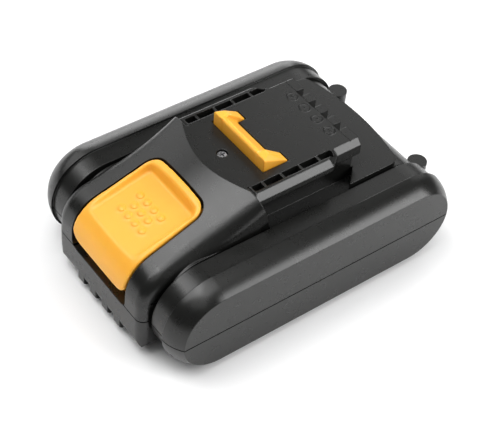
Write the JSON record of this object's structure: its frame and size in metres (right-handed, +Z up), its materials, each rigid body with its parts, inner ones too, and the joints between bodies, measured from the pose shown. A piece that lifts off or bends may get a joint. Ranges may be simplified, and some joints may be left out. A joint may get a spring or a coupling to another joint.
{
  "type": "power tool battery pack",
  "caption": "Slide-on battery pack for a cordless power tool, with round-sided housing, two slide rails, a terminal end and a thumb button that lowers the latch bar.",
  "frame": {"origin": "middle of the base, on the surface that the pack rests on", "axes": "+Z up, +Y towards the terminal end, which enters the tool first, -Y towards the release button, X across the pack"},
  "size_m": [0.082, 0.1193, 0.0514],
  "materials": {
    "housing_plastic": "fine moulded texture",
    "latch_plastic": "satin moulded",
    "spring_steel": "drawn spring wire",
    "cell_can": "plated can",
    "cell_sleeve": "shrink film",
    "holder_plastic": "plain moulded",
    "nickel": "plated strip",
    "fibre_sheet": "pressed fibre sheet",
    "foam": "closed-cell foam",
    "board_laminate": "solder mask",
    "terminal_plastic": "plain moulded",
    "contact_copper": "plated copper alloy",
    "component_black": "moulded package",
    "component_metal": "tinned",
    "component_ceramic": "fired ceramic",
    "connector_plastic": "plain moulded",
    "screw_steel": "plated"
  },
  "bodies": {
    "pack": {"lower_housing": "housing_plastic", "upper_housing": "housing_plastic", "release_spring_left": "spring_steel", "release_spring_right": "spring_steel", "cell_1": "cell_can", "cell_2": "cell_can", "cell_3": "cell_can", "cell_4": "cell_can", "cell_5": "cell_can", "cell_sleeve_1": "cell_sleeve", "cell_sleeve_2": "cell_sleeve", "cell_sleeve_3": "cell_sleeve", "cell_sleeve_4": "cell_sleeve", "cell_sleeve_5": "cell_sleeve", "cell_holder_left": "holder_plastic", "cell_holder_right": "holder_plastic", "board_tray": "holder_plastic", "strip_negative": "nickel", "strip_1_2": "nickel", "strip_2_3": "nickel", "strip_3_4": "nickel", "strip_4_5": "nickel", "strip_positive": "nickel", "insulator_sheet_left": "fibre_sheet", "insulator_sheet_right": "fibre_sheet", "side_pad_left": "foam", "side_pad_right": "foam", "circuit_board": "board_laminate", "terminal_block": "terminal_plastic", "contact_positive": "contact_copper", "contact_signal_1": "contact_copper", "contact_signal_2": "contact_copper", "contact_negative": "contact_copper", "power_transistors": "component_black", "controller_chip": "component_black", "thermistor": "component_black", "current_shunt": "component_metal", "board_fuse": "component_metal", "capacitors": "component_ceramic", "sense_connector": "connector_plastic", "housing_screws": "screw_steel", "plateau_screw": "screw_steel"},
    "latch": {"release_latch": "latch_plastic"}
  },
  "joints": [
    {"name": "release_slide", "type": "slide", "parent": "pack", "child": "latch", "axis": [0, 0, -1], "range_m": [0, 0.0047], "stiffness_N_per_m": 4400, "springref_m": -0.002, "deforming": ["release_spring_left", "release_spring_right"]}
  ]
}
